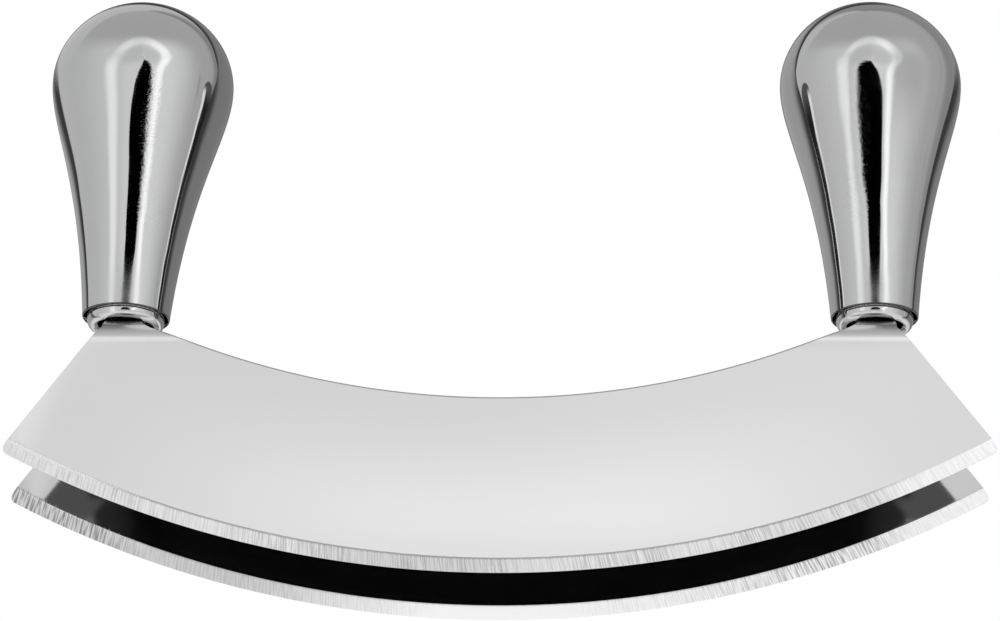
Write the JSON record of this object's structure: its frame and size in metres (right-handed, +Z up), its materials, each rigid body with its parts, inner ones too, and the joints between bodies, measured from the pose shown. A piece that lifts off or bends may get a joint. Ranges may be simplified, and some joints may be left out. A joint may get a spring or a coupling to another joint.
{
  "type": "double mezzaluna",
  "caption": "Rocking herb knife with parallel curved steel blades joined at their ears under upright polished bulb handles, for chopping herbs on a board.",
  "frame": {"origin": "on the board, midway between the lowest points of the two cutting edges", "axes": "+X along the blades to the right, +Y from the front blade to the rear blade, +Z up to the handles"},
  "size_m": [0.2384, 0.0446, 0.1534],
  "materials": {
    "blade_steel": "fine satin, ground bevels at the cutting edges",
    "handle_steel": "mirror polished stainless steel",
    "collar_steel": "polished stainless steel",
    "core_plastic": "dark moulded plug",
    "rivet_steel": "plain steel pins"
  },
  "bodies": {
    "root": {"front_blade": "blade_steel", "rear_blade": "blade_steel", "left_handle_front_shell": "handle_steel", "left_handle_rear_shell": "handle_steel", "right_handle_front_shell": "handle_steel", "right_handle_rear_shell": "handle_steel", "left_collar": "collar_steel", "right_collar": "collar_steel", "left_tang_core": "core_plastic", "right_tang_core": "core_plastic", "left_lower_rivet": "rivet_steel", "left_upper_rivet": "rivet_steel", "right_lower_rivet": "rivet_steel", "right_upper_rivet": "rivet_steel"}
  },
  "joints": []
}
